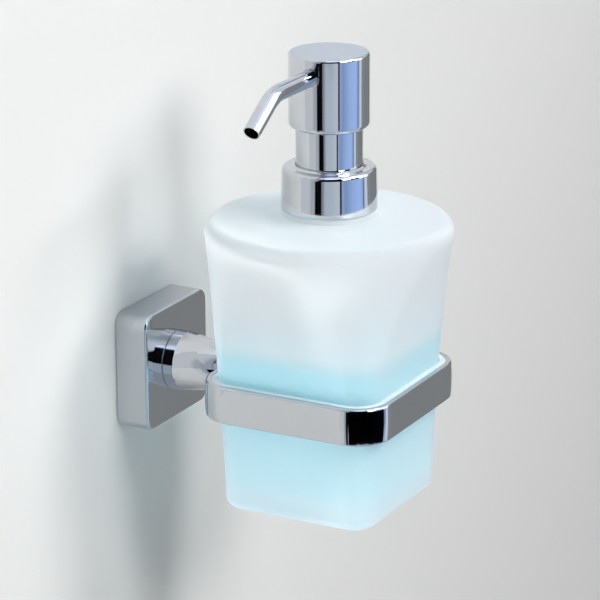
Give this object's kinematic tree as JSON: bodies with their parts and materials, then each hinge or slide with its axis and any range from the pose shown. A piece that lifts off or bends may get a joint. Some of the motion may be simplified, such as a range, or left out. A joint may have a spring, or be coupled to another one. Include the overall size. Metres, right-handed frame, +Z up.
{
  "type": "wall mounted soap dispenser",
  "caption": "Square chromed wall rosette and arm with a square holder ring, a frosted glass soap bottle and a push pump with a bent spout.",
  "frame": {"origin": "centre of the wall plate's back face, on the wall, midway between its two screw holes", "axes": "+Z up, +Y into the wall, +X along the wall; bottle and pump stand upright at Y = -75.5 mm"},
  "size_m": [0.1013, 0.1195, 0.1644],
  "materials": {
    "chrome": "polished chrome plate on brass and zinc",
    "steel": "plain bright steel",
    "liner_plastic": "translucent moulded plastic",
    "frosted_glass": "acid frosted, satin",
    "soap": "clear pale cyan liquid",
    "white_plastic": "natural moulded polypropylene",
    "seal_rubber": "soft pale seal"
  },
  "bodies": {
    "wall": {"wall_plate": "steel", "rosette": "chrome", "grub_screw": "steel", "arm": "chrome", "arm_washer": "steel", "arm_screw": "steel", "ring": "chrome", "ring_screw": "steel", "ring_liner": "liner_plastic"},
    "bottle": {"bottle": "frosted_glass", "soap": "soap"},
    "pump": {"neck_gasket": "seal_rubber", "sleeve": "chrome", "housing": "white_plastic", "dip_tube": "white_plastic", "retainer": "white_plastic", "return_spring": "steel"},
    "collar": {"collar": "chrome", "closure_insert": "white_plastic"},
    "inlet_valve": {"inlet_ball": "steel"},
    "piston": {"piston": "seal_rubber"},
    "head": {"head": "chrome", "head_insert": "white_plastic", "spout": "chrome", "stem": "white_plastic"},
    "outlet_valve": {"outlet_ball": "steel"}
  },
  "joints": [
    {"name": "bottle_lift", "type": "slide", "parent": "wall", "child": "bottle", "axis": [0, 0, 1], "range_m": [0, 0.055]},
    {"name": "pump_lift", "type": "slide", "parent": "bottle", "child": "pump", "axis": [0, 0, 1], "range_m": [0, 0.115]},
    {"name": "collar_turn", "type": "hinge", "parent": "pump", "child": "collar", "pos_m": [0, -0.0755, 0.075], "axis": [0, 0, 1], "range_deg": [0, 540]},
    {"name": "inlet_valve_lift", "type": "slide", "parent": "pump", "child": "inlet_valve", "axis": [0, 0, 1], "range_m": [0, 0.0015]},
    {"name": "head_press", "type": "slide", "parent": "pump", "child": "piston", "axis": [0, 0, 1], "range_m": [-0.012, 0], "stiffness_N_per_m": 500, "springref_m": 0.01, "deforming": ["return_spring"]},
    {"name": "head_swivel", "type": "hinge", "parent": "piston", "child": "head", "pos_m": [0, -0.0755, 0.11], "axis": [0, 0, 1], "continuous": true},
    {"name": "outlet_valve_lift", "type": "slide", "parent": "head", "child": "outlet_valve", "axis": [0, 0, 1], "range_m": [0, 0.0015]}
  ]
}
